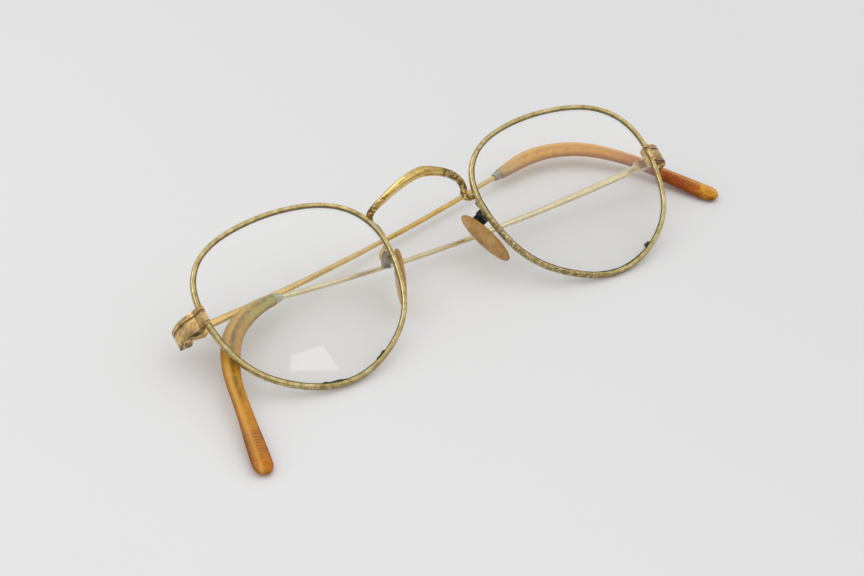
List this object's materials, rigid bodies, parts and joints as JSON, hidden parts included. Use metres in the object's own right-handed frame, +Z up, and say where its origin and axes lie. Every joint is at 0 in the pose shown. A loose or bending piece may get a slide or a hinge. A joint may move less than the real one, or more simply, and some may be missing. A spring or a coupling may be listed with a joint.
{
  "type": "folding spectacles",
  "caption": "Antique gold-filled wire spectacles with an arched bridge, rocking nose pads and folded hinged temples that end in amber celluloid tips.",
  "frame": {"origin": "on the table, under the middle of the resting spectacles' box, millimetres turned to metres", "axes": "+Z up from the table, +X from the wearer's right lens to the left one, +Y from the lower rims to the raised bridge"},
  "size_m": [0.1268, 0.0604, 0.0234],
  "materials": {
    "gold_filled": "worn satin gold fill with tarnish in the grooves",
    "pale_gold": "satin, paler and greyer than the rims",
    "hinge_steel": "dull and darkened",
    "pad_mount": "dark and tarnished",
    "celluloid": "glossy, warm amber, slightly see-through",
    "nose_pad": "smooth satin tan",
    "lens": "clear and polished"
  },
  "bodies": {
    "frame": {"bridge": "gold_filled", "right_rim": "gold_filled", "right_lens": "lens", "right_end_lower": "gold_filled", "right_end_upper": "gold_filled", "right_closing_screw": "hinge_steel", "right_hinge_pin": "hinge_steel", "right_pad_arm": "gold_filled", "right_pad_box": "pad_mount", "right_pad_pin": "hinge_steel", "left_rim": "gold_filled", "left_lens": "lens", "left_end_lower": "gold_filled", "left_end_upper": "gold_filled", "left_closing_screw": "hinge_steel", "left_hinge_pin": "hinge_steel", "left_pad_arm": "gold_filled", "left_pad_box": "pad_mount", "left_pad_pin": "hinge_steel"},
    "right_temple": {"right_temple_joint": "gold_filled", "right_temple_bar": "pale_gold", "right_ferrule": "pale_gold", "right_tip": "celluloid"},
    "left_temple": {"left_temple_joint": "gold_filled", "left_temple_bar": "pale_gold", "left_ferrule": "pale_gold", "left_tip": "celluloid"},
    "right_pad": {"right_pad_mount": "pad_mount", "right_nose_pad": "nose_pad"},
    "left_pad": {"left_pad_mount": "pad_mount", "left_nose_pad": "nose_pad"}
  },
  "joints": [
    {"name": "right_temple_hinge", "type": "hinge", "parent": "frame", "child": "right_temple", "pos_m": [0.05324, 0.00833, 0.00704], "axis": [0, -0.8541, -0.5201], "range_deg": [0, 79]},
    {"name": "left_temple_hinge", "type": "hinge", "parent": "frame", "child": "left_temple", "pos_m": [-0.05927, 0.00754, 0.00639], "axis": [0, 0.8843, 0.467], "range_deg": [0, 76.7]},
    {"name": "right_pad_rock", "type": "hinge", "parent": "frame", "child": "right_pad", "pos_m": [0.0082, 0.00696, 0.00954], "axis": [0, -0.5201, 0.8541], "range_deg": [-9, 9]},
    {"name": "left_pad_rock", "type": "hinge", "parent": "frame", "child": "left_pad", "pos_m": [-0.01518, 0.00548, 0.00852], "axis": [0, -0.467, 0.8843], "range_deg": [-9, 9]}
  ]
}
